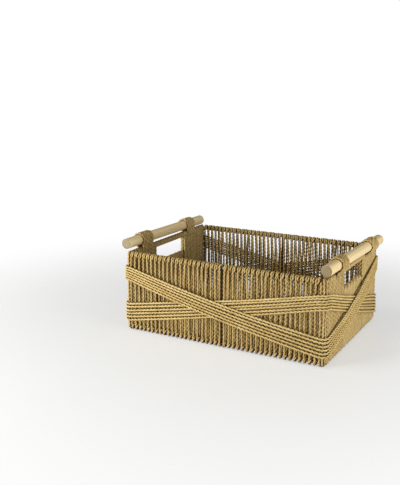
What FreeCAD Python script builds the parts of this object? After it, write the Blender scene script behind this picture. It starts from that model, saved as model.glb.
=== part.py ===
"""Storage basket: a welded wire frame wound with paper cord, with two wooden dowel handles.

Millimetres. The origin is the middle of the underside, +X runs along the length, +Y to the back, +Z up.
"""
import FreeCAD, Part
import math
import os
from FreeCAD import Vector

# Overall sizes, measured over the wound walls
basket_length = 428.0
basket_width = 315.0
rim_height = 165.0
frame_bend_radius = 3.0

# Stock that the basket is made from
rim_wire_diameter = 4.0
stay_wire_diameter = 3.8
light_wire_diameter = 3.5
cord_diameter = 4.8

# Hand hole in each end wall
hand_hole_width = 112.0
hand_hole_sill = 122.0
stay_cover = 4.0

# Wooden handle along the top of each end wall; dowel_bed is how far it stands clear of the wound rim
dowel_diameter = 21.0
dowel_overhang = 0.0
dowel_chamfer = 0.8
dowel_outset = 6.5
dowel_bed = 2.5

# Cord lashings that tie each dowel to the rim wire
lashing_turns = 7
lashing_gap = 0.2
lashing_from_hole = 18.0

# Base
cross_wire_spacing = 105.0
cross_wire_count = 3

# Two zigzag bands of cord round the outside; heights of their middles at the front left, front
# right, back right and back left corners
band_cords = 6
outer_band_heights = (122.0, 36.0, 127.0, 36.0)
under_band_heights = (37.0, 124.0, 34.5, 124.0)
high_height = 80.0
gap_at_high_corner = 0.3
gap_at_low_corner = 2.0
crossing_margin = 12.0
crossing_bend_radius = 60.0

# Clearance between cords that lie on one another
lay_clearance = 0.1

# Sizes that follow from those above
wall = rim_wire_diameter + 2 * cord_diameter
half_wall = wall / 2
rim_z = rim_height - half_wall
base_z = half_wall
frame_x = basket_length / 2 - half_wall
frame_y = basket_width / 2 - half_wall
corner_radius = frame_bend_radius + half_wall
corner_size = max(wall, corner_radius)
straight_x = basket_length / 2 - corner_size
straight_y = basket_width / 2 - corner_size
hole_y = hand_hole_width / 2
hole_stay_y = hole_y + stay_cover + stay_wire_diameter / 2
sill_z = hand_hole_sill - cord_diameter - light_wire_diameter / 2
dowel_length = basket_width + 2 * dowel_overhang
dowel_x = frame_x + dowel_outset
dowel_from_rim = half_wall + dowel_bed + dowel_diameter / 2
dowel_z = rim_z + math.sqrt(dowel_from_rim ** 2 - dowel_outset ** 2)
lashing_pitch = cord_diameter + lashing_gap
lashing_width = lashing_turns * lashing_pitch
lashing_start = hole_y + lashing_from_hole
lashing_bottom = rim_z - rim_wire_diameter / 2 - cord_diameter - lay_clearance
cord_lay = cord_diameter / 2 + lay_clearance

ALONG_X = Vector(1, 0, 0)
UP = Vector(0, 0, 1)
ends = {"left": -1, "right": 1}
sides = {"front": -1, "back": 1}


def save(name, shape):
    """Write one node, and say how many solids it has and their volume."""
    good = shape.isValid() and all(solid.Volume > 0 for solid in shape.Solids)
    print(f"{name:28s} solids {len(shape.Solids):2d}  volume {shape.Volume:10.0f}  {'ok' if good else 'BAD'}")
    shape.exportStep(f"parts/{name}.step")


def rod(diameter, start, end):
    """A straight round wire from one point to another."""
    run = end - start
    return Part.makeCylinder(diameter / 2, run.Length, start, run)


def swept(diameter, edges):
    """A round cord or wire along a closed run of joined edges, as two halves joined end to end."""
    halves = []
    middle = len(edges) // 2
    for run in (edges[:middle], edges[middle:]):
        begin = run[0].FirstParameter
        circle = Part.makeCircle(diameter / 2, run[0].valueAt(begin), run[0].tangentAt(begin))
        halves.append(Part.Wire(run).makePipeShell([Part.Wire(circle)], True, False))
    return halves[0].fuse(halves[1]).Solids[0]


def rounded_loop(points, radii):
    """Straight runs round closed corners, joined by an arc tangent to both runs at each point."""
    arcs = []
    for i, point in enumerate(points):
        back = (points[i - 1] - point).normalize()
        on = (points[(i + 1) % len(points)] - point).normalize()
        half_turn = (math.pi - back.getAngle(on)) / 2
        reach = radii[i] * math.tan(half_turn)
        inward = (back + on).normalize() * (radii[i] / math.cos(half_turn) - radii[i])
        arcs.append((point + back * reach, point + inward, point + on * reach))
    edges = []
    for i, (start, middle, end) in enumerate(arcs):
        edges.append(Part.Arc(start, middle, end).toShape())
        edges.append(Part.LineSegment(end, arcs[(i + 1) % len(arcs)][0]).toShape())
    return edges


def wire_ring(height):
    """The rounded rectangle of frame wire that a wall's rim or foot is wound on."""
    corners = [
        Vector(-frame_x, -frame_y, height),
        Vector(frame_x, -frame_y, height),
        Vector(frame_x, frame_y, height),
        Vector(-frame_x, frame_y, height),
    ]
    edges = rounded_loop(corners, [frame_bend_radius] * 4)
    return swept(rim_wire_diameter, edges)


def stadium(length, bottom, top):
    """A wall of wound cord standing on the XY plane along X, rounded over its wires below and above."""
    low = bottom + half_wall
    high = top - half_wall
    outline = [
        Part.LineSegment(Vector(0, -half_wall, low), Vector(0, -half_wall, high)).toShape(),
        Part.Arc(Vector(0, -half_wall, high), Vector(0, 0, top), Vector(0, half_wall, high)).toShape(),
        Part.LineSegment(Vector(0, half_wall, high), Vector(0, half_wall, low)).toShape(),
        Part.Arc(Vector(0, half_wall, low), Vector(0, 0, bottom), Vector(0, -half_wall, low)).toShape(),
    ]
    return Part.Face(Part.Wire(outline)).extrude(ALONG_X * length)


def largest(shape):
    """The main body left by a cut."""
    return max(shape.Solids, key=lambda solid: solid.Volume)


os.makedirs("parts", exist_ok=True)

# Frame: two rings of wire, joined by upright stays whose ends are coped to the rings
rim_wire = wire_ring(rim_z)
base_wire = wire_ring(base_z)
save("rim_wire", rim_wire)
save("base_wire", base_wire)
rings = [rim_wire, base_wire]


def stay(x, y):
    """An upright wire between the two rings."""
    return largest(rod(stay_wire_diameter, Vector(x, y, base_z), Vector(x, y, rim_z)).cut(rings))


quarter_turns = {("right", "back"): 0, ("left", "back"): 90, ("left", "front"): 180, ("right", "front"): 270}


def at_corner(piece, end, side):
    """A piece made to fit the back right corner, turned round for any of the four."""
    turned = piece.translated(Vector(-straight_x, -straight_y, 0))
    turned.rotate(Vector(), UP, quarter_turns[end, side])
    turned.translate(Vector(ends[end] * straight_x, sides[side] * straight_y, 0))
    return turned


inner_wires = []
corner_in = frame_bend_radius * (1 - math.sqrt(0.5))
fitted_post = stay(frame_x - corner_in, frame_y - corner_in)
for end, side in quarter_turns:
    post = at_corner(fitted_post, end, side)
    save(f"corner_post_{side}_{end}", post)
    inner_wires.append(post)
for side, y_sign in sides.items():
    middle_stay = stay(0, y_sign * frame_y)
    save(f"middle_stay_{side}", middle_stay)
    inner_wires.append(middle_stay)
for end, x_sign in ends.items():
    hole_stays = []
    for side, y_sign in sides.items():
        hole_stay = stay(x_sign * frame_x, y_sign * hole_stay_y)
        save(f"hand_hole_stay_{side}_{end}", hole_stay)
        hole_stays.append(hole_stay)
    bar_ends = [Vector(x_sign * frame_x, sign * hole_stay_y, sill_z) for sign in (-1, 1)]
    sill_bar = largest(rod(light_wire_diameter, *bar_ends).cut(hole_stays))
    save(f"hand_hole_sill_bar_{end}", sill_bar)
    inner_wires += hole_stays + [sill_bar]

# Cross wires that carry the base, coped to the base ring and to any stay that stands in their way
for i in range(cross_wire_count):
    x = (i - (cross_wire_count - 1) / 2) * cross_wire_spacing
    run = rod(light_wire_diameter, Vector(x, -frame_y, base_z), Vector(x, frame_y, base_z))
    cross_wire = largest(run.cut([base_wire] + inner_wires))
    save(f"base_cross_wire_{i + 1}", cross_wire)
    inner_wires.append(cross_wire)

frame_wires = rings + inner_wires

# Long walls: cord wound up and down over the two rings
for side, y_sign in sides.items():
    panel = stadium(2 * straight_x, 0, rim_height).translated(Vector(-straight_x, y_sign * frame_y, 0))
    save(f"wall_winding_{side}", largest(panel.cut(frame_wires)))

# End walls: a panel under the hand hole, a panel each side of it, and the wound rim over it
for end, x_sign in ends.items():
    to_wall = Vector(x_sign * frame_x, 0, 0)
    under = stadium(2 * hole_y, 0, hand_hole_sill)
    under.rotate(Vector(), UP, 90)
    under.translate(to_wall + Vector(0, -hole_y, 0))
    save(f"end_winding_under_hole_{end}", largest(under.cut(frame_wires)))

    rim_wrap = rod(wall, Vector(0, -hole_y, rim_z) + to_wall, Vector(0, hole_y, rim_z) + to_wall)
    save(f"rim_wrap_over_hole_{end}", largest(rim_wrap.cut(frame_wires)))

    for side, y_sign in sides.items():
        panel = stadium(straight_y - hole_y, 0, rim_height)
        panel.rotate(Vector(), UP, 90 * y_sign)
        panel.translate(to_wall + Vector(0, y_sign * hole_y, 0))
        notch_height = rim_height - lashing_bottom
        notch_start = Vector(-wall, lashing_start, lashing_bottom)
        notch = Part.makeBox(2 * wall, lashing_width, notch_height, notch_start)
        if y_sign < 0:
            notch.rotate(Vector(), UP, 180)
        notch.translate(to_wall)
        save(f"end_winding_{side}_{end}", largest(panel.cut(frame_wires + [notch])))


def corner_block():
    """Two walls mitred together at a corner that points to +X and +Y, its outer edge rounded."""
    to_middle = corner_size - half_wall
    along_x = stadium(corner_size, 0, rim_height).translated(Vector(0, to_middle, 0))
    along_y = stadium(corner_size, 0, rim_height)
    along_y.rotate(Vector(), UP, 90)
    along_y.translate(Vector(to_middle, 0, 0))
    inner = Vector()
    outer = Vector(corner_size, corner_size, 0)
    halves = []
    for run, side_point in ((along_x, Vector(0, corner_size, 0)), (along_y, Vector(corner_size, 0, 0))):
        triangle = Part.Face(Part.makePolygon([inner, side_point, outer, inner]))
        halves.append(run.common(triangle.extrude(UP * rim_height)))
    rounded = Part.makeBox(corner_size, corner_size, rim_height)
    edge_middle = outer + UP * (rim_height / 2)
    outer_edge = min(rounded.Edges, key=lambda edge: edge.CenterOfMass.distanceToPoint(edge_middle))
    return halves[0].fuse(halves[1]).common(rounded.makeFillet(corner_radius, [outer_edge]))


# Corners: the wound walls meet at a mitre, and their cords go round one upright edge
corner_place = Vector(straight_x, straight_y, 0)
fitted_corner = largest(corner_block().translated(corner_place).cut(frame_wires))
for end, side in quarter_turns:
    save(f"corner_winding_{side}_{end}", at_corner(fitted_corner, end, side))

# Base: cord wound across the cross wires, filling the space between the walls
inside_x = basket_length / 2 - wall
inside_y = basket_width / 2 - wall
base = Part.makeBox(2 * inside_x, 2 * inside_y, wall, Vector(-inside_x, -inside_y, 0))
save("base_winding", largest(base.cut(inner_wires)))

# Handles: a dowel runs along the wound rim of each end wall and is lashed to the rim wire
for end, x_sign in ends.items():
    half = dowel_length / 2
    dowel_ends = [Vector(x_sign * dowel_x, y, dowel_z) for y in (-half, half)]
    dowel = rod(dowel_diameter, *dowel_ends)
    rims = [edge for edge in dowel.Edges if len(edge.Vertexes) == 1]
    save(f"handle_dowel_{end}", dowel.makeChamfer(dowel_chamfer, rims))


def lashing_turn(x_sign, y):
    """One turn of cord round the dowel and the rim wire, a belt on two unequal rounds."""
    round_dowel = dowel_diameter / 2 + cord_lay
    round_wire = rim_wire_diameter / 2 + cord_lay
    rise = dowel_z - rim_z
    apart = math.hypot(dowel_outset, rise)
    lean = math.atan2(rise, dowel_outset)
    spread = math.acos((round_wire - round_dowel) / apart)

    def on_round(x, z, radius, angle):
        return Vector(x_sign * (x + radius * math.cos(angle)), y, z + radius * math.sin(angle))

    outer, inner = lean - spread, lean + spread
    at_wire = [on_round(frame_x, rim_z, round_wire, a) for a in (inner, lean + math.pi, outer)]
    at_dowel = [on_round(dowel_x, dowel_z, round_dowel, a) for a in (outer, lean, inner)]
    edges = [
        Part.Arc(*at_wire).toShape(),
        Part.LineSegment(at_wire[2], at_dowel[0]).toShape(),
        Part.Arc(*at_dowel).toShape(),
        Part.LineSegment(at_dowel[2], at_wire[0]).toShape(),
    ]
    return swept(cord_diameter, edges)


for end, x_sign in ends.items():
    for side, y_sign in sides.items():
        turns = []
        for i in range(lashing_turns):
            y = lashing_start + (i + 0.5) * lashing_pitch
            turns.append(lashing_turn(x_sign, y_sign * y))
        save(f"handle_lashing_{side}_{end}", Part.makeCompound(turns))

# Bands: each is a cord led six times round the basket, zigzagging from corner to corner. The cords
# of the outer band rise over the under band where they cross on each wall.
band_x = basket_length / 2 + cord_lay
band_y = basket_width / 2 + cord_lay
walls = [
    (Vector(-band_x, -band_y, 0), Vector(band_x, -band_y, 0), Vector(0, -1, 0)),
    (Vector(band_x, -band_y, 0), Vector(band_x, band_y, 0), Vector(1, 0, 0)),
    (Vector(band_x, band_y, 0), Vector(-band_x, band_y, 0), Vector(0, 1, 0)),
    (Vector(-band_x, band_y, 0), Vector(-band_x, -band_y, 0), Vector(-1, 0, 0)),
]


def cord_heights(middles, number):
    """Heights at the four corners of one cord of a band, counted from the lowest."""
    heights = []
    for middle in middles:
        gap = gap_at_high_corner if middle > high_height else gap_at_low_corner
        heights.append(middle + (number - (band_cords - 1) / 2) * (cord_diameter + gap))
    return heights


def crossing(outer, wall_number):
    """The stretch of a wall, as shares of its length, where an outer cord lies over the under band."""
    shares = []
    following = (wall_number + 1) % 4
    for number in range(band_cords):
        under = cord_heights(under_band_heights, number)
        apart_here = outer[wall_number] - under[wall_number]
        apart_next = outer[following] - under[following]
        shares.append(apart_here / (apart_here - apart_next))
    return min(shares), max(shares)


def corner_bend(back, on):
    """The bend radius that just clears the outside of a corner winding."""
    half_turn = (math.pi - back.getAngle(on)) / 2
    room = (corner_radius + cord_lay) * (math.sqrt(2) - 1) - lay_clearance
    return room / (1 / math.cos(half_turn) - 1)


def band_cord(middles, number, is_outer):
    """One cord of a band, as a closed loop round the four walls."""
    heights = cord_heights(middles, number)
    points = []
    for i, (start, end, out) in enumerate(walls):
        low = start + UP * heights[i]
        high = end + UP * heights[(i + 1) % 4]
        points.append((low, True))
        if is_outer:
            length = (end - start).Length
            first, last = crossing(heights, i)
            lift = out * (cord_diameter + lay_clearance)
            over_start = first - crossing_margin / length
            over_end = last + crossing_margin / length
            points.append((low + (high - low) * over_start + lift, False))
            points.append((low + (high - low) * over_end + lift, False))
    route = [point for point, is_corner in points]
    radii = []
    for i, (point, is_corner) in enumerate(points):
        back = route[i - 1] - point
        on = route[(i + 1) % len(route)] - point
        radii.append(corner_bend(back, on) if is_corner else crossing_bend_radius)
    edges = rounded_loop(route, radii)
    cord = swept(cord_diameter, edges)
    expected = math.pi * cord_diameter ** 2 / 4 * sum(edge.Length for edge in edges)
    assert abs(cord.Volume / expected - 1) < 0.01, "a band cord isn't its section times its length"
    return cord


for number in range(band_cords):
    save(f"outer_band_cord_{number + 1}", band_cord(outer_band_heights, number, True))
for number in range(band_cords):
    save(f"under_band_cord_{number + 1}", band_cord(under_band_heights, number, False))
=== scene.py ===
import math

import bpy
import numpy as np
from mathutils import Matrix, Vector


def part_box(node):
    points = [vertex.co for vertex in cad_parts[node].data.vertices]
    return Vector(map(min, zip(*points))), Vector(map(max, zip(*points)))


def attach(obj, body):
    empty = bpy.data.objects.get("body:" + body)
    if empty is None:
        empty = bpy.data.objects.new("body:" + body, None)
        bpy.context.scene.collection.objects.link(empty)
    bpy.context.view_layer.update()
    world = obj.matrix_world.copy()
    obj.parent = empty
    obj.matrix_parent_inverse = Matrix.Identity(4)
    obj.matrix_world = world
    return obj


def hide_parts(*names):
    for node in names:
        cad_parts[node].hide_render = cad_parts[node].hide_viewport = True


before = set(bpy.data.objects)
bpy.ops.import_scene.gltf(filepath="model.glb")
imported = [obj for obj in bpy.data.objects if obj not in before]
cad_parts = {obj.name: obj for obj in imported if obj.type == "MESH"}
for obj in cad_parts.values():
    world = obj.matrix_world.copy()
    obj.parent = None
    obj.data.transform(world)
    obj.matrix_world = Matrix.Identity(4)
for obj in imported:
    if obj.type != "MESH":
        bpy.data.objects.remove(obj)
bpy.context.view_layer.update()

# A storage basket: welded wire wound with two-ply paper cord, two cord bands crossing on every
# wall, and a wooden dowel lashed along each end. Lengths are in millimetres until a mesh is made.
MM = 0.001
rng = np.random.default_rng(815)


def node_box(name):
    """Lowest and highest corners of a CAD node, in millimetres."""
    low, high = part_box(name)
    return np.array(low) / MM, np.array(high) / MM


# ---- Sizes, all taken from the frame ----
rim_low, rim_high = node_box("rim_wire")
base_low, base_high = node_box("base_wire")
wall_low, wall_high = node_box("wall_winding_front")
panel_high = node_box("end_winding_under_hole_right")[1]
sill_low, sill_high = node_box("hand_hole_sill_bar_right")
cross_low, cross_high = node_box("base_cross_wire_1")
dowel_low, dowel_high = node_box("handle_dowel_right")
lash_low, lash_high = node_box("handle_lashing_back_right")
floor_low, floor_high = node_box("base_winding")

WIRE = rim_high[2] - rim_low[2]
HALF_WALL = (wall_high[1] - wall_low[1]) / 2
CORD = HALF_WALL - WIRE / 2
CORD_R = CORD / 2
REACH = WIRE / 2 + CORD_R
RIM_Z = (rim_low[2] + rim_high[2]) / 2
BASE_Z = (base_low[2] + base_high[2]) / 2
FRAME_X = rim_high[0] - WIRE / 2
FRAME_Y = rim_high[1] - WIRE / 2
FRAME_BEND = 3.0         # bend of the frame wire at a corner, on its middle line
CORNER_R = FRAME_BEND + HALF_WALL
STRAIGHT_X = FRAME_X - FRAME_BEND
STRAIGHT_Y = FRAME_Y - FRAME_BEND
HOLE_Y = panel_high[1]
SILL_Z = (sill_low[2] + sill_high[2]) / 2
SILL_REACH = (sill_high[2] - sill_low[2]) / 2 + CORD_R + 0.3
DOWEL_R = (dowel_high[2] - dowel_low[2]) / 2
DOWEL_Z = (dowel_low[2] + dowel_high[2]) / 2
DOWEL_X = (dowel_low[0] + dowel_high[0]) / 2
DOWEL_END = dowel_high[1]
DOWEL_DIP = 3.0          # how much higher a dowel's front end lies than its middle
DOWEL_SKEW = 2.0         # how much further out its back end lies than its middle

# ---- How the cord is made and laid ----
LAY = 16.0               # length of one full twist of the two plies
RING_STEP = 1.3          # spacing of the mesh rings along a cord
CLOSE_PITCH = 4.85       # ends, base and lashings: strands side by side
RIM_SLANT = 0.35         # how far a wrap over a wire leans along it
FOOT_SHIFT = 0.8         # how much further along a long wall a strand's foot lies than its even place
HEAD_SHIFT = 0.7         # and its head
BEHIND = 0.9             # how far along from its outer strand an inner strand ends up
SILL_NECK = 2.9          # how far the strands stand from the wall's middle just below the sill roll
STAY_CLEAR = 4.6         # turns nearer than this to a long wall's middle stay don't go under the rim wire
LONG_STRANDS = 21        # outer strands on a long wall, each side of the one over its middle stay

LEAN_STOP = 45.0         # how far below the rim it gets there
MISLAID = 0.35           # how far a strand on a long wall strays from its even place
RUN_POINTS = 25          # points along a straight strand
ROUND_POINTS = 24         # points along a cord's way round a dowel, and round the rim over a hand hole

UP = np.array([0.0, 0.0, 1.0])
ALONG_X = np.array([1.0, 0.0, 0.0])
ALONG_Y = np.array([0.0, 1.0, 0.0])

# Outline of two-ply cord: two round plies pressed together, seen end on
PLY_R = 1.34
PLY_OFFSET = 0.76
PLY_ANGLES = np.radians([0, 48, 90, 132, 180, 228, 270, 312])
PLY_OUTLINE = (PLY_OFFSET * np.abs(np.cos(PLY_ANGLES))
               + np.sqrt(PLY_R ** 2 - (PLY_OFFSET * np.sin(PLY_ANGLES)) ** 2)) * CORD_R / (PLY_R + PLY_OFFSET)
SIDES = len(PLY_ANGLES)


# ---- Cord meshes ----
class CordPiece:
    """Gathers the cords that make up one piece, and turns them into one mesh."""

    def __init__(self, name):
        self.name = name
        self.points = []
        self.faces = []
        self.caps = []
        self.place = []
        self.count = 0

    def add_rings(self, rings, place, closed):
        """Skin a run of rings; an open run is capped at both ends."""
        total = len(rings)
        index = self.count + np.arange(total * SIDES).reshape(total, SIDES)
        here, after = (index, np.roll(index, -1, 0)) if closed else (index[:-1], index[1:])
        here_next, after_next = np.roll(here, -1, 1), np.roll(after, -1, 1)
        self.faces.append(np.stack([here, here_next, after_next, after], -1).reshape(-1, 4))
        if not closed:
            self.caps += [index[0][::-1], index[-1]]
        self.points.append(rings.reshape(-1, 3))
        self.place.append(place.reshape(-1, 3))
        self.count += total * SIDES

    def make(self, material, nodes):
        """Make the mesh object, ride it on the basket and let it stand for its CAD nodes."""
        mesh = bpy.data.meshes.new(self.name)
        quads = np.concatenate(self.faces)
        caps = np.array(self.caps, dtype=np.int64).reshape(-1, SIDES)
        loops = np.concatenate([quads.ravel(), caps.ravel()])
        sizes = np.concatenate([np.full(len(quads), 4), np.full(len(caps), SIDES)])
        mesh.vertices.add(self.count)
        mesh.vertices.foreach_set("co", (np.concatenate(self.points) * MM).astype(np.float32).ravel())
        mesh.loops.add(len(loops))
        mesh.loops.foreach_set("vertex_index", loops.astype(np.int32))
        mesh.polygons.add(len(sizes))
        mesh.polygons.foreach_set("loop_start", (np.cumsum(sizes) - sizes).astype(np.int32))
        mesh.polygons.foreach_set("use_smooth", np.ones(len(sizes), dtype=bool))
        place = mesh.attributes.new("cord_place", "FLOAT_VECTOR", "POINT")
        place.data.foreach_set("vector", np.concatenate(self.place).astype(np.float32).ravel())
        mesh.update(calc_edges=True)
        mesh.validate()
        piece = bpy.data.objects.new(self.name, mesh)
        bpy.context.scene.collection.objects.link(piece)
        mesh.materials.append(material)
        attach(piece, "root")
        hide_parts(*nodes)
        return piece


def even_steps(points, closed):
    """The same line at even steps of about RING_STEP, with each point's distance along it."""
    line = np.vstack([points, points[:1]]) if closed else points
    lengths = np.linalg.norm(np.diff(line, axis=0), axis=1)
    travelled = np.concatenate([[0.0], np.cumsum(lengths)])
    steps = max(4, int(round(travelled[-1] / RING_STEP)))
    at = np.linspace(0, travelled[-1], steps + 1)
    if closed:
        at = at[:-1]
    return np.stack([np.interp(at, travelled, line[:, i]) for i in range(3)], 1), at, travelled[-1]


def cord_rings(points, sideways, closed=False):
    """Rings of two-ply cord along a line. sideways is a direction that the line never takes."""
    line, at, length = even_steps(points, closed)
    if closed:
        tangent = np.roll(line, -1, 0) - np.roll(line, 1, 0)
    else:
        tangent = np.gradient(line, axis=0)
    tangent /= np.linalg.norm(tangent, axis=1)[:, None]
    across = sideways - tangent * (tangent @ sideways)[:, None]
    across /= np.linalg.norm(across, axis=1)[:, None]
    over = np.cross(across, tangent)
    turns = max(1, round(length / LAY)) if closed else length / LAY
    twist = 2 * math.pi * (turns * at / length + rng.random())
    angle = twist[:, None] + PLY_ANGLES
    swell = 1 + 0.05 * np.sin(at / rng.uniform(9, 14) + rng.uniform(0, 6))
    swell = swell + 0.02 * rng.standard_normal(len(at))
    radius = swell[:, None] * PLY_OUTLINE
    rings = (line[:, None] + (radius * np.cos(angle))[..., None] * over[:, None]
             + (radius * np.sin(angle))[..., None] * across[:, None])
    place = np.empty(rings.shape)
    place[..., 0] = at[:, None]
    place[..., 1] = np.arange(SIDES) / SIDES
    place[..., 2] = rng.random()
    return rings, place, line


def sway(t, size):
    """A hand-wound strand's wandering between two held ends, for t from 0 to 1."""
    waves = sum(rng.normal(0, 1 / n) * np.sin(math.pi * n * t) for n in (1, 2, 3, 5, 7))
    return size * waves


def run(a_start, a_end, n_start, n_end, z_start, z_end, loose=0.45):
    """A strand from one wire to another, on the wall's outer (n > 0) or inner face."""
    t = np.linspace(0, 1, RUN_POINTS)
    a = a_start + (a_end - a_start) * t + sway(t, loose)
    n = n_start + (n_end - n_start) * t + sway(t, loose / 3)
    return np.stack([a, n, z_start + (z_end - z_start) * t], 1)


def wrap(turns, a_stops, z, reach):
    """Cord round a wire, in quarter turns: 0 is the outer face, 1 the top, 2 the inner face, 3 below."""
    quarter = np.linspace(turns[0], turns[1], 2 + int(8 * (turns[1] - turns[0])))[1:-1]
    angle = quarter * math.pi / 2
    a = np.interp(quarter, np.linspace(turns[0], turns[1], len(a_stops)), a_stops)
    return np.stack([a, reach * np.cos(angle), z + reach * np.sin(angle)], 1)


def open_turn(a, pitch):
    """One turn on a long wall, with an extra wrap round the rim wire and the base wire. The inner strand
    starts in the gap between two outer strands and leans back behind the outer one on its way down."""
    half = pitch / 2
    up, over, down, on = a + rng.normal(0, MISLAID, 4) + (0.0, HEAD_SHIFT, half, BEHIND)
    foot = on + FOOT_SHIFT
    follow = a + pitch
    spare = 0 if abs(a + half / 2) < STAY_CLEAR else 4
    return [
        run(up + FOOT_SHIFT, over, REACH, REACH, BASE_Z, RIM_Z, 0.8),
        wrap((0, 2 + spare), (over, over + RIM_SLANT, down - RIM_SLANT, down), RIM_Z, REACH),
        run(down, foot, -REACH, -REACH, RIM_Z, RIM_Z - LEAN_STOP, 0.2),
        run(foot, foot, -REACH, -REACH, RIM_Z - LEAN_STOP, BASE_Z, 0.5),
        wrap((2, 4 + spare), (foot, on, follow - RIM_SLANT, follow + FOOT_SHIFT), BASE_Z, REACH),
    ]


def close_turn(a, pitch):
    """One turn on an end wall, over its rim wire and under its base wire."""
    half = pitch / 2
    return [
        run(a, a, REACH, REACH, BASE_Z, RIM_Z),
        wrap((0, 2), (a, a + half), RIM_Z, REACH),
        run(a + half, a + half, -REACH, -REACH, RIM_Z, BASE_Z),
        wrap((2, 4), (a + half, a + pitch), BASE_Z, REACH),
    ]


def sill_turn(a, pitch):
    """One turn under a hand hole: the strands pinch in below the sill bar, so it stands out as a roll."""
    half = pitch / 2
    neck = SILL_Z - 1.8 * CORD
    return [
        run(a, a, REACH, SILL_NECK, BASE_Z, neck),
        wrap((-0.5, 2.5), (a, a + half), SILL_Z, SILL_REACH),
        run(a + half, a + half, -SILL_NECK, -REACH, neck, BASE_Z),
        wrap((2, 4), (a + half, a + pitch), BASE_Z, REACH),
    ]


def dowel_at(y):
    """Where the middle of a dowel lies at y: its distance out from the wall's middle, and its height."""
    share = y / DOWEL_END
    return DOWEL_X - FRAME_X + DOWEL_SKEW * share, DOWEL_Z - DOWEL_DIP * share


def touching_angle(n, z, centre_n, centre_z, radius, side):
    """Angle on a round at which a cord coming up from (n, z) first touches it."""
    apart = math.hypot(centre_n - n, centre_z - z)
    towards = math.atan2(z - centre_z, n - centre_n)
    return towards + side * math.acos(radius / apart)


def lashing_turn(end, a, pitch):
    """One turn that leaves the wall, goes over the dowel and comes down the inner face."""
    half = pitch / 2
    outset, height = dowel_at(a if end == "right" else -a)
    around = DOWEL_R + CORD_R
    leave_z = RIM_Z - WIRE / 2
    first = touching_angle(REACH, leave_z, outset, height, around, 1)
    last = touching_angle(-REACH, leave_z, outset, height, around, -1) + 2 * math.pi
    angle = np.linspace(first, last, ROUND_POINTS)
    t = np.linspace(0, 1, ROUND_POINTS)
    slip = np.linspace(a, a + half, ROUND_POINTS) + sway(t, 0.3)
    over = np.stack([slip, outset + around * np.cos(angle), height + around * np.sin(angle)], 1)
    return [
        run(a, a, REACH, REACH, BASE_Z, leave_z),
        over,
        run(a + half, a + half, -REACH, -REACH, leave_z, BASE_Z),
        wrap((2, 4), (a + half, a + pitch), BASE_Z, REACH),
    ]


class Wall:
    """One wall's own directions: a along it, n outwards from its middle plane, z up."""

    def __init__(self, middle, along, out):
        self.middle = middle
        self.along = along
        self.out = out

    def place(self, points):
        return self.middle + points[:, :1] * self.along + points[:, 1:2] * self.out + points[:, 2:] * UP


WALLS = {
    "front": Wall(-FRAME_Y * ALONG_Y, ALONG_X, -ALONG_Y),
    "right": Wall(FRAME_X * ALONG_X, ALONG_Y, ALONG_X),
    "back": Wall(FRAME_Y * ALONG_Y, -ALONG_X, ALONG_Y),
    "left": Wall(-FRAME_X * ALONG_X, -ALONG_Y, -ALONG_X),
}


def even_turns(start, end, pitch):
    """Starts of whole turns between two places, with the pitch eased to fill the space."""
    count = int(round((end - start) / pitch))
    eased = (end - start) / count
    return [start + i * eased for i in range(count)], eased


def wind_long_wall(side, material):
    """A long wall in one winding, with an outer strand over its middle stay. It ends on an outer strand."""
    wall = WALLS[side]
    pitch = (STRAIGHT_X - CORD_R) / LONG_STRANDS
    turns = [open_turn(pitch * number, pitch) for number in range(-LONG_STRANDS, LONG_STRANDS)]
    last = STRAIGHT_X - CORD_R
    end_strand = run(last, last, REACH, REACH, BASE_Z, RIM_Z)
    path = np.vstack([part for turn in turns for part in turn] + [end_strand])
    rings, place = cord_rings(wall.place(path), wall.along)[:2]
    piece = CordPiece(f"{side}_wall_cord")
    piece.add_rings(rings, place, False)
    piece.make(material, [f"wall_winding_{side}"])


def wind_end_strip(end, side, material):
    """The close-wound strip between a hand hole and a corner, and the lashing that grows out of it."""
    wall = WALLS[end]
    ahead = (side == "back") == (end == "right")
    start, stop = (HOLE_Y, STRAIGHT_Y) if ahead else (-STRAIGHT_Y, -HOLE_Y)
    turns, pitch = even_turns(start + CORD_R, stop - CORD_R / 2, CLOSE_PITCH)
    lash_from, lash_to = (lash_low[1], lash_high[1]) if ahead else (-lash_high[1], -lash_low[1])
    parts = []
    for a in turns:
        lashed = lash_from <= a + pitch / 4 <= lash_to
        parts += lashing_turn(end, a, pitch) if lashed else close_turn(a, pitch)
    rings, place, line = cord_rings(wall.place(np.vstack(parts)), wall.along)
    above = line[:, 2] > RIM_Z - REACH
    strip_at = line @ wall.along
    tied = above & (strip_at > lash_from - pitch / 2) & (strip_at < lash_to + pitch / 2)
    winding = CordPiece(f"{end}_end_cord_{side}")
    lashing = CordPiece(f"{end}_handle_lashing_{side}")
    cuts = np.flatnonzero(np.diff(tied.astype(int))) + 1
    edges = [0, *cuts, len(tied)]
    for first, last in zip(edges[:-1], edges[1:]):
        last = min(last + 1, len(tied))
        if last - first > 1:
            piece = lashing if tied[first] else winding
            piece.add_rings(rings[first:last], place[first:last], False)
    edge = math.copysign(HOLE_Y + CORD_R, start + stop)
    cover = wall.place(run(edge, edge, 0, 0, SILL_Z, RIM_Z, 0.2))
    winding.add_rings(*cord_rings(cover, wall.along)[:2], False)
    winding.make(material, [f"end_winding_{side}_{end}"])
    lashing.make(material, [f"handle_lashing_{side}_{end}"])


def wind_under_hole(end, material):
    """The panel under a hand hole, wound over the sill bar."""
    wall = WALLS[end]
    turns, pitch = even_turns(-HOLE_Y + CORD_R / 2, HOLE_Y, CLOSE_PITCH)
    path = np.vstack([part for a in turns for part in sill_turn(a, pitch)])
    rings, place = cord_rings(wall.place(path), wall.along)[:2]
    piece = CordPiece(f"{end}_end_cord_under_hole")
    piece.add_rings(rings, place, False)
    piece.make(material, [f"end_winding_under_hole_{end}"])


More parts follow.
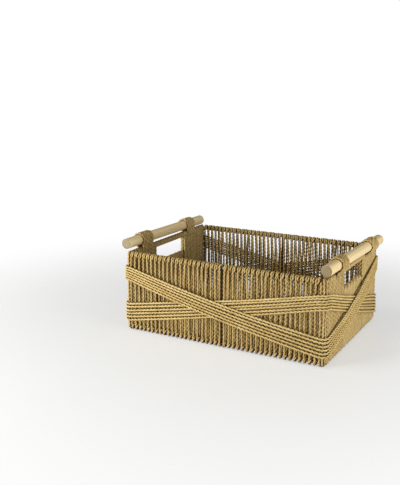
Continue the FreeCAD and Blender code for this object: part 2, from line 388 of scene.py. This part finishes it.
def wrap_rim_over_hole(end, material):
    """Cord wound round and round the rim wire where it bridges a hand hole."""
    wall = WALLS[end]
    count = int(2 * HOLE_Y / CORD)
    angle = np.linspace(0, 2 * math.pi * count, ROUND_POINTS * count)
    a = np.linspace(-HOLE_Y - CORD_R, HOLE_Y + CORD_R, len(angle))
    path = np.stack([a, REACH * np.cos(angle), RIM_Z + REACH * np.sin(angle)], 1)
    rings, place = cord_rings(wall.place(path), wall.along)[:2]
    piece = CordPiece(f"{end}_rim_cord_over_hole")
    piece.add_rings(rings, place, False)
    piece.make(material, [f"rim_wrap_over_hole_{end}"])


def wind_corner(end, side, material):
    """Two upright cords round a corner, looped over the rim and the base wire."""
    x_sign = 1 if end == "right" else -1
    y_sign = 1 if side == "back" else -1
    axis = np.array([x_sign * STRAIGHT_X, y_sign * STRAIGHT_Y, 0.0])
    outer = CORNER_R - CORD_R
    inner = -CORD_R + 0.3
    width, middle = (outer - inner) / 2, (outer + inner) / 2
    t = np.linspace(0, 1, RUN_POINTS)
    piece = CordPiece(f"{side}_{end}_corner_cord")
    for degrees, closed in ((25, True), (65, False)):
        turn = math.radians(degrees)
        radial = np.array([x_sign * math.cos(turn), y_sign * math.sin(turn), 0.0])
        across = np.cross(UP, radial)
        top_arc = np.linspace(0, math.pi if closed else 0.6 * math.pi, 12)[1:-1]
        foot_arc = np.linspace(0 if closed else 0.4 * math.pi, math.pi, 12)[1:-1]
        up_run = np.stack([sway(t, 0.4), outer + sway(t, 0.15), BASE_Z + (RIM_Z - BASE_Z) * t], 1)
        top = np.stack([0 * top_arc, middle + width * np.cos(top_arc), RIM_Z + REACH * np.sin(top_arc)], 1)
        down_run = np.stack([sway(t, 0.3), np.full(RUN_POINTS, inner), RIM_Z + (BASE_Z - RIM_Z) * t], 1)
        below = BASE_Z - REACH * np.sin(foot_arc)
        foot = np.stack([0 * foot_arc, middle - width * np.cos(foot_arc), below], 1)
        loop = np.vstack([foot, up_run, top, down_run] if closed else [foot, up_run, top])
        world = axis + loop[:, :1] * across + loop[:, 1:2] * radial + loop[:, 2:] * UP
        rings, place = cord_rings(world, across, closed)[:2]
        piece.add_rings(rings, place, closed)
    piece.make(material, [f"corner_winding_{side}_{end}"])


def wind_base(material):
    """The base, wound lengthways over the cross wires, in strips across its width."""
    cross_r = (cross_high[2] - cross_low[2]) / 2
    reach = cross_r + CORD_R
    end_x = floor_high[0] - reach - CORD_R
    turns, pitch = even_turns(floor_low[1] + CORD_R, floor_high[1] - CORD_R / 2, CLOSE_PITCH)
    strips = np.array_split(turns, 5)
    t = np.linspace(0, 1, 33)
    arc = np.linspace(math.pi / 2, -math.pi / 2, 10)[1:-1]
    for number, strip in enumerate(strips):
        parts = []
        for y in strip:
            half = pitch / 2
            upper = BASE_Z + reach + 0 * t
            lower = BASE_Z - reach + 0 * t
            round_x, round_z = end_x + reach * np.cos(arc), reach * np.sin(arc)
            parts.append(np.stack([end_x * (2 * t - 1), y + sway(t, 0.35), upper + sway(t, 0.12)], 1))
            parts.append(np.stack([round_x, 0 * arc + y + half / 2, BASE_Z + round_z], 1))
            parts.append(np.stack([end_x * (1 - 2 * t), y + half + sway(t, 0.35), lower], 1))
            parts.append(np.stack([-round_x, 0 * arc + y + 1.5 * half, BASE_Z - round_z], 1))
        rings, place = cord_rings(np.vstack(parts), ALONG_Y)[:2]
        piece = CordPiece(f"base_cord_{number + 1}")
        piece.add_rings(rings, place, False)
        piece.make(material, ["base_winding"])


# ---- Bands ----
BAND_CORDS = 6
CROSSING_MARGIN = 12.0
CORNERS = ((-1, -1), (1, -1), (1, 1), (-1, 1))
BAND_BITE = 0.4          # how far a band cord sinks between the strands under it
BAND_SAG = {"outer": 4.5, "under": 2.5}


def corner_heights(name):
    """Heights at which a band cord goes round the four corners, from its CAD node."""
    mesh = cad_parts[name].data
    points = np.empty(len(mesh.vertices) * 3, dtype=np.float32)
    mesh.vertices.foreach_get("co", points)
    points = points.reshape(-1, 3) / MM
    heights = []
    for x_sign, y_sign in CORNERS:
        near = (points[:, 0] * x_sign > STRAIGHT_X + CORD) & (points[:, 1] * y_sign > STRAIGHT_Y + CORD)
        heights.append(points[near, 2].mean())
    return heights


def band_route(heights, crossed, sag):
    """One closed turn of a band cord. It runs straight from a corner up over the cords that it crosses,
    and straight down to the next corner; crossed holds the corner heights of those cords."""
    radius = CORNER_R + CORD_R - BAND_BITE
    lift_over = CORD - BAND_BITE
    plan, height, lift, outward = [], [], [], []
    for i, (x_sign, y_sign) in enumerate(CORNERS):
        follow = (i + 1) % 4
        centre = np.array([x_sign * STRAIGHT_X, y_sign * STRAIGHT_Y])
        next_centre = np.array([CORNERS[follow][0] * STRAIGHT_X, CORNERS[follow][1] * STRAIGHT_Y])
        arc = math.atan2(y_sign, x_sign) + np.linspace(-math.pi / 4, math.pi / 4, 9)
        round_corner = np.stack([np.cos(arc), np.sin(arc)], 1)
        length = np.linalg.norm(next_centre - centre)
        t = np.linspace(0, 1, int(length / 3))[1:-1]
        raised = sway(t, 0.12)
        if crossed:
            apart = [(heights[i] - cord[i], heights[follow] - cord[follow]) for cord in crossed]
            shares = [here / (here - there) for here, there in apart]
            first = min(shares) - CROSSING_MARGIN / length
            last = max(shares) + CROSSING_MARGIN / length
            raised = raised + lift_over * np.clip(np.minimum(t / first, (1 - t) / (1 - last)), 0, 1)
        straight = centre + radius * round_corner[-1] + t[:, None] * (next_centre - centre)
        plan += [centre + radius * round_corner, straight]
        outward += [round_corner, np.repeat(round_corner[-1:], len(t), 0)]
        height += [np.full(9, heights[i]),
                   heights[i] + (heights[follow] - heights[i]) * t - 4 * sag * t * (1 - t) + sway(t, 0.3)]
        lift += [np.zeros(9), raised]
    kernel = np.hanning(9) / np.hanning(9).sum()

    def eased(values):
        return np.convolve(np.concatenate([values[-4:], values, values[:4]]), kernel, "valid")

    flat = np.vstack(plan) + eased(np.concatenate(lift))[:, None] * np.vstack(outward)
    return np.column_stack([flat, eased(np.concatenate(height))])


def lay_bands(material):
    """The under band first, then the outer band over it."""
    under = [corner_heights(f"under_band_cord_{i + 1}") for i in range(BAND_CORDS)]
    outer = [corner_heights(f"outer_band_cord_{i + 1}") for i in range(BAND_CORDS)]
    for band, cords, crossed in (("under", under, []), ("outer", outer, under)):
        for i, heights in enumerate(cords):
            uneven = [h + rng.uniform(-0.5, 0.5) for h in heights]
            route = band_route(uneven, crossed, BAND_SAG[band])
            rings, place = cord_rings(route, UP, closed=True)[:2]
            piece = CordPiece(f"{band}_band_turn_{i + 1}")
            piece.add_rings(rings, place, True)
            piece.make(material, [f"{band}_band_cord_{i + 1}"])


# ---- Handles ----
END_ROUNDING = 1.8


def turn_dowel(end, material, sawn_and_shaded):
    """A sanded dowel with eased ends, very slightly out of round and out of straight."""
    sign = 1 if end == "right" else -1
    arc = np.linspace(0, math.pi / 2, 6)
    eased = DOWEL_R - END_ROUNDING + END_ROUNDING * np.sin(arc)
    face = np.linspace(0.15, 1, 5)[:-1] * (DOWEL_R - END_ROUNDING)
    near_y = np.concatenate([np.zeros(4), END_ROUNDING * (1 - np.cos(arc))])
    near_r = np.concatenate([face, eased])
    body_y = np.linspace(END_ROUNDING, 2 * DOWEL_END - END_ROUNDING, 80)[1:-1]
    along = np.concatenate([near_y, body_y, 2 * DOWEL_END - near_y[::-1]]) - DOWEL_END
    radius = np.concatenate([near_r, np.full(len(body_y), DOWEL_R), near_r[::-1]])
    around = np.linspace(0, 2 * math.pi, 64, endpoint=False)
    oval = 0.004 * np.sin(2 * around + along[:, None] / 70)
    ripple = 0.003 * np.sin(5 * around + along[:, None] / 31)
    wobble = 1 + oval + ripple
    bow = 0.2 * np.cos(math.pi * along / (2 * DOWEL_END))
    spread = radius[:, None] * wobble
    outset, height = dowel_at(along[:, None])
    x = sign * (FRAME_X + outset) + spread * np.cos(around)
    z = height + bow[:, None] + spread * np.sin(around)
    y = np.repeat(along[:, None], len(around), 1)
    points = np.stack([x, y, z], -1).reshape(-1, 3) * MM
    index = np.arange(len(points)).reshape(len(along), len(around))
    after = np.roll(index, -1, 1)
    faces = np.stack([index[:-1], index[1:], after[1:], after[:-1]], -1).reshape(-1, 4).tolist()
    faces += [index[0].tolist(), index[-1][::-1].tolist()]
    mesh = bpy.data.meshes.new(f"{end}_handle_dowel")
    mesh.from_pydata(points.tolist(), [], faces)
    mesh.polygons.foreach_set("use_smooth", np.ones(len(mesh.polygons), dtype=bool))
    mesh.materials.append(material)
    # the sawn ends take the darker end-grain material, which is partly painted shade
    mesh.materials.append(sawn_and_shaded)
    strip = np.arange(len(along) - 1)
    on_end = (strip < len(near_y) - 3) | (strip >= len(along) - len(near_y) + 2)
    sawn_faces = np.append(np.repeat(on_end, len(around)), [True, True])
    mesh.polygons.foreach_set("material_index", sawn_faces.astype(np.int32))
    dowel = bpy.data.objects.new(f"{end}_handle_dowel", mesh)
    bpy.context.scene.collection.objects.link(dowel)
    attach(dowel, "root")
    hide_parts(f"handle_dowel_{end}")


# ---- Materials ----
def colour(code, alpha=1.0):
    """A linear colour from its sRGB hex code."""
    parts = [int(code[i:i + 2], 16) / 255 for i in (0, 2, 4)]
    return tuple(p / 12.92 if p <= 0.04045 else ((p + 0.055) / 1.055) ** 2.4 for p in parts) + (alpha,)


def add_node(tree, kind, feeds=None, stops=None, **settings):
    """Add a shader node with its settings. feeds gives each input a value, or the output that drives it."""
    made = tree.nodes.new("ShaderNode" + kind)
    for name, value in settings.items():
        setattr(made, name, value)
    for name, value in (feeds or {}).items():
        if isinstance(value, bpy.types.NodeSocket):
            tree.links.new(value, made.inputs[name])
        else:
            made.inputs[name].default_value = value
    if stops:
        ramp = made.color_ramp
        while len(ramp.elements) < len(stops):
            ramp.elements.new(0.5)
        for element, (position, code) in zip(ramp.elements, stops):
            element.position = position
            element.color = colour(code)
    return made


def new_material(name):
    """An empty material and its node tree."""
    material = bpy.data.materials.new(name)
    material.use_nodes = True
    material.node_tree.nodes.clear()
    return material, material.node_tree


def twisted_paper_cord(name, shade, light, dark, painted_shade_below):
    """Paper spun and twisted into two-ply cord: dry, slightly shiny on the crowns of the plies, with
    fine creases along them, and dye that varies from strand to strand."""
    material, tree = new_material(name)
    place = add_node(tree, "Attribute", attribute_name="cord_place")
    split = add_node(tree, "SeparateXYZ", {"Vector": place.outputs["Vector"]})
    along, around, strand = split.outputs
    # creases of the spun paper: about 0.5 mm apart round the cord and 6 mm long
    round_mm = add_node(tree, "Math", {0: around, 1: 2 * math.pi * CORD_R}, operation="MULTIPLY")
    apart = add_node(tree, "Math", {0: strand, 1: 900.0}, operation="MULTIPLY")
    crease_at = add_node(tree, "CombineXYZ", {"X": along, "Y": round_mm.outputs[0], "Z": apart.outputs[0]})
    stretched = add_node(tree, "Mapping", {"Vector": crease_at.outputs[0], "Scale": (1 / 6, 1 / 0.5, 1.0)})
    crease = add_node(tree, "TexNoise", {
        "Vector": stretched.outputs[0], "Scale": 1.0, "Detail": 3.0, "Roughness": 0.6})
    # patches of dye about 25 mm long
    patch_at = add_node(tree, "Mapping", {"Vector": crease_at.outputs[0], "Scale": (1 / 25, 0.1, 1.0)})
    patch = add_node(tree, "TexNoise", {"Vector": patch_at.outputs[0], "Scale": 1.0, "Detail": 2.0})
    strand_share = add_node(tree, "Math", {0: strand, 1: 0.08, 2: 0.16}, operation="MULTIPLY_ADD")
    patch_share = add_node(tree, "Math", {
        0: patch.outputs[0], 1: 0.55, 2: strand_share.outputs[0]}, operation="MULTIPLY_ADD")
    crease_share = add_node(tree, "Math", {
        0: crease.outputs[0], 1: 0.35, 2: patch_share.outputs[0]}, operation="MULTIPLY_ADD")
    hue = add_node(tree, "ValToRGB", {"Fac": crease_share.outputs[0]},
                   stops=((0.38, dark), (0.62, shade), (0.9, light)))
    # painted shade in the furrow between the plies, which the smooth-shaded mesh doesn't darken by itself: it
    # lies a quarter and three quarters of the way round
    doubled = add_node(tree, "Math", {0: around, 1: 4 * math.pi}, operation="MULTIPLY")
    crown = add_node(tree, "Math", {0: doubled.outputs[0]}, operation="COSINE")
    furrow_painted_shade = add_node(tree, "MapRange", {
        "Value": crown.outputs[0], "From Min": -1.0, "From Max": 0.2, "To Min": 0.55, "To Max": 0.0})
    furrow_shaded = add_node(tree, "Mix", {
        "Factor": furrow_painted_shade.outputs[0], "A": hue.outputs[0], "B": colour(dark)}, data_type="RGBA")
    # painted shade: an ambient occlusion node colours the cord deeper brown where other cord lies within 9
    # mm, standing in for the shade in the gaps between strands
    painted_shade_ao = add_node(tree, "AmbientOcclusion", {"Distance": 9 * MM}, samples=6)
    painted_shade_mask = add_node(tree, "MapRange", {
        "Value": painted_shade_ao.outputs["AO"], "From Min": 0.12, "From Max": painted_shade_below,
        "To Min": 1.0, "To Max": 0.0})
    painted_shade_mix = add_node(tree, "Mix", {
        "Factor": painted_shade_mask.outputs[0], "A": furrow_shaded.outputs[2], "B": colour("3E2608")}, data_type="RGBA")
    bump = add_node(tree, "Bump", {"Height": crease.outputs[0], "Strength": 0.5, "Distance": 0.35 * MM})
    shader = add_node(tree, "BsdfPrincipled", {
        "Base Color": painted_shade_mix.outputs[2], "Normal": bump.outputs[0],
        "Roughness": 0.55, "IOR": 1.5, "Specular IOR Level": 0.35})
    add_node(tree, "OutputMaterial", {"Surface": shader.outputs[0]})
    return material


def sanded_pine(name, early, middle, late):
    """Pine, sanded and left bare: pale and matt, with soft growth lines along its length. Given darker
    colours it also serves for the sawn ends, which are darker partly as end grain and partly as painted
    shade."""
    material, tree = new_material(name)
    where = add_node(tree, "TexCoord")
    # growth lines about 2.5 mm apart and 200 mm long, wandering a little
    growth_at = add_node(tree, "Mapping", {"Vector": where.outputs["Object"], "Scale": (400.0, 5.0, 400.0)})
    growth = add_node(tree, "TexNoise", {
        "Vector": growth_at.outputs[0], "Scale": 1.0, "Detail": 2.0, "Distortion": 0.3})
    hue = add_node(tree, "ValToRGB", {"Fac": growth.outputs[0]},
                   stops=((0.3, early), (0.5, middle), (0.7, late)))
    # pores and sanding marks 0.3 mm wide and 8 mm long
    fine = add_node(tree, "Mapping", {
        "Vector": where.outputs["Object"], "Scale": (1 / (0.3 * MM), 1 / (8 * MM), 1 / (0.3 * MM))})
    pores = add_node(tree, "TexNoise", {"Vector": fine.outputs[0], "Scale": 1.0, "Detail": 3.0})
    worn = add_node(tree, "MapRange", {
        "Value": pores.outputs[0], "From Min": 0.5, "From Max": 0.8, "To Max": 0.35})
    grain = add_node(tree, "Mix", {
        "Factor": worn.outputs[0], "A": hue.outputs[0], "B": colour(late)}, data_type="RGBA")
    bump = add_node(tree, "Bump", {"Height": pores.outputs[0], "Strength": 0.15, "Distance": 0.1 * MM})
    shader = add_node(tree, "BsdfPrincipled", {
        "Base Color": grain.outputs[2], "Normal": bump.outputs[0],
        "Roughness": 0.5, "IOR": 1.5, "Specular IOR Level": 0.35})
    add_node(tree, "OutputMaterial", {"Surface": shader.outputs[0]})
    return material


def powder_coated_wire(name):
    """Steel wire powder coated dark brown: a fine even orange peel with a dull shine."""
    material, tree = new_material(name)
    where = add_node(tree, "TexCoord")
    peel = add_node(tree, "TexNoise", {
        "Vector": where.outputs["Object"], "Scale": 1 / (0.8 * MM), "Detail": 2.0})
    hue = add_node(tree, "ValToRGB", {"Fac": peel.outputs[0]}, stops=((0.3, "5F4421"), (0.7, "735429")))
    bump = add_node(tree, "Bump", {"Height": peel.outputs[0], "Strength": 0.2, "Distance": 0.05 * MM})
    shader = add_node(tree, "BsdfPrincipled", {
        "Base Color": hue.outputs[0], "Normal": bump.outputs[0], "Roughness": 0.45, "IOR": 1.5})
    add_node(tree, "OutputMaterial", {"Surface": shader.outputs[0]})
    return material


def acrylic_with_painted_light(name):
    """Translucent white acrylic sheet with a faint reflection of the basket. Painted light: it is half
    see-through to the white studio near the basket and wholly see-through further out, so it brightens away
    from the basket with no lamp doing it, and no edge of it shows."""
    material, tree = new_material(name)
    where = add_node(tree, "TexCoord")
    mottle = add_node(tree, "TexNoise", {"Vector": where.outputs["Object"], "Scale": 3.0, "Detail": 2.0})
    hue = add_node(tree, "ValToRGB", {"Fac": mottle.outputs[0]}, stops=((0.0, "EFEFE9"), (1.0, "F6F6F2")))
    shader = add_node(tree, "BsdfPrincipled", {
        "Base Color": hue.outputs[0], "Roughness": 0.28, "IOR": 1.45, "Specular IOR Level": 0.35})
    # painted light: the further from the basket, the more of the white studio shows through
    distance = add_node(tree, "VectorMath", {0: where.outputs["Object"]}, operation="LENGTH")
    fade = add_node(tree, "MapRange", {
        "Value": distance.outputs["Value"], "From Min": 0.25, "From Max": 0.95, "To Min": 0.5},
        interpolation_type="SMOOTHSTEP")
    clear = add_node(tree, "BsdfTransparent")
    mixed = add_node(tree, "MixShader", {0: fade.outputs[0], 1: shader.outputs[0], 2: clear.outputs[0]})
    add_node(tree, "OutputMaterial", {"Surface": mixed.outputs[0]})
    return material


# ---- Make the basket ----
# the last number is the occlusion below which painted shade starts to darken the cord
wound = twisted_paper_cord("two_ply_paper_cord", "BFA262", "DECA92", "7C5A24", 0.72)
banded = twisted_paper_cord("two_ply_paper_cord_bands", "CAAE6C", "E6D29A", "9C7A42", 0.42)
pine = sanded_pine("sanded_pine", "EAD6A8", "E2CA97", "D3B57E")
# the sawn ends: darker partly as end grain, partly as painted shade on the dowel caps
end_grain_and_painted_shade = sanded_pine("sawn_pine_end_grain_painted_shade", "8F7E5C", "887756", "7C6C4D")
coated = powder_coated_wire("brown_powder_coated_wire")

for side in ("front", "back"):
    wind_long_wall(side, wound)
for end in ("left", "right"):
    wind_under_hole(end, wound)
    wrap_rim_over_hole(end, wound)
    turn_dowel(end, pine, end_grain_and_painted_shade)
    for side in ("front", "back"):
        wind_end_strip(end, side, wound)
        wind_corner(end, side, wound)
wind_base(wound)
lay_bands(banded)

for name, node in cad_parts.items():
    if not node.hide_render:
        node.data.materials.clear()
        node.data.materials.append(coated)

# ---- Floor, light and camera ----
floor_mesh = bpy.data.meshes.new("studio_floor")
FLOOR_HALF = 1.3
floor_corners = [(x * FLOOR_HALF, y * FLOOR_HALF, 0) for x, y in CORNERS]
floor_mesh.from_pydata(floor_corners, [], [(0, 1, 2, 3)])
floor_mesh.materials.append(acrylic_with_painted_light("white_acrylic_with_painted_light"))
studio_floor = bpy.data.objects.new("studio_floor", floor_mesh)
bpy.context.scene.collection.objects.link(studio_floor)


def softbox(name, place, aim, size, power):
    """A square soft light at one place, turned towards another, in metres and watts."""
    lamp = bpy.data.lights.new(name, "AREA")
    lamp.shape = "SQUARE"
    lamp.size = size
    lamp.energy = power
    light = bpy.data.objects.new(name, lamp)
    light.location = place
    light.rotation_euler = (Vector(aim) - Vector(place)).to_track_quat("-Z", "Y").to_euler()
    bpy.context.scene.collection.objects.link(light)


softbox("key_softbox", (-0.75, -1.25, 0.22), (-0.02, 0, 0.09), 0.5, 22)
softbox("fill_softbox", (1.35, -0.35, 0.2), (0.1, 0, 0.08), 0.7, 16)
softbox("top_softbox", (-0.5, -0.6, 1.6), (0, 0, 0.1), 0.6, 6)

# The studio is pure white to the eye, while its walls light the basket more gently
world = bpy.data.worlds.new("white_studio")
world.use_nodes = True
seen = add_node(world.node_tree, "LightPath")
glow = add_node(world.node_tree, "MapRange", {
    "Value": seen.outputs["Is Camera Ray"], "To Min": 0.24, "To Max": 1.0})
backdrop = world.node_tree.nodes["Background"].inputs
backdrop["Color"].default_value = (1, 1, 1, 1)
world.node_tree.links.new(glow.outputs[0], backdrop["Strength"])
bpy.context.scene.world = world
bpy.context.scene.view_settings.view_transform = "Standard"

# The camera stands at the front right, 1.5 m away and a little above, and looks past the basket
camera = bpy.data.cameras.new("camera")
camera.sensor_width = 36
camera.lens = 54.24
camera.shift_y = -0.0856
viewer = bpy.data.objects.new("camera", camera)
viewer.location = (0.61994, -1.34014, 0.52231)
viewer.rotation_euler = (math.radians(90 - 10.028), 0, math.radians(29.181))
bpy.context.scene.collection.objects.link(viewer)
bpy.context.scene.camera = viewer
